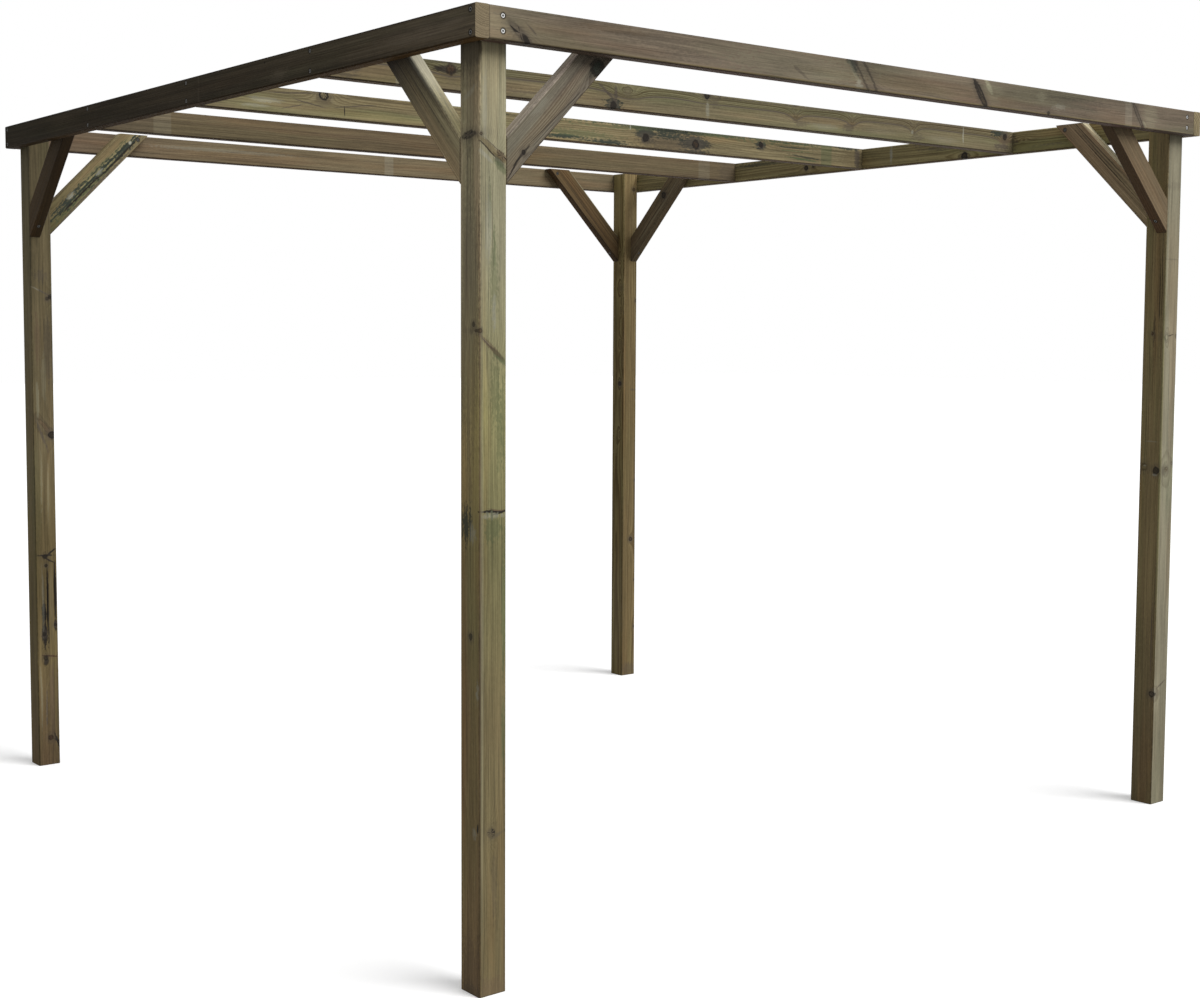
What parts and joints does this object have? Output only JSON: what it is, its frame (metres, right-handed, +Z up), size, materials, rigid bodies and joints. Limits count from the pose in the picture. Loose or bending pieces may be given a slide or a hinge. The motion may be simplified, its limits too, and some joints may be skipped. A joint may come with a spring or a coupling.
{
  "type": "garden arbor",
  "caption": "Free-standing open timber garden arbor: square posts carry a flat roof frame of beams and rafters, stiffened by diagonal knee braces.",
  "frame": {"origin": "centre of the plan at ground level, midway between the four posts", "axes": "+X to the right along the front beam, +Y to the back, +Z up"},
  "size_m": [3.39, 3.39, 2.68],
  "materials": {
    "post": "planed softwood, pressure treated, greenish brown, with fine grain and knots",
    "beam": "planed softwood, pressure treated, grey brown, with end grain showing at the corners",
    "rafter": "planed softwood, pressure treated, olive, with knots and dark stain",
    "brace": "planed softwood, pressure treated, brown",
    "screw": "bright zinc plated"
  },
  "bodies": {
    "root": {"post_front_left": "post", "post_front_right": "post", "post_back_left": "post", "post_back_right": "post", "beam_front": "beam", "beam_back": "beam", "beam_left": "beam", "beam_right": "beam", "rafter_1": "rafter", "rafter_2": "rafter", "rafter_3": "rafter", "brace_front_left_x": "brace", "brace_front_left_y": "brace", "brace_front_right_x": "brace", "brace_front_right_y": "brace", "brace_back_left_x": "brace", "brace_back_left_y": "brace", "brace_back_right_x": "brace", "brace_back_right_y": "brace", "screws_beam_front": "screw", "screws_beam_back": "screw", "screws_beam_left": "screw", "screws_beam_right": "screw", "screws_brace_front_left": "screw", "screws_brace_front_right": "screw", "screws_brace_back_left": "screw", "screws_brace_back_right": "screw"}
  },
  "joints": []
}
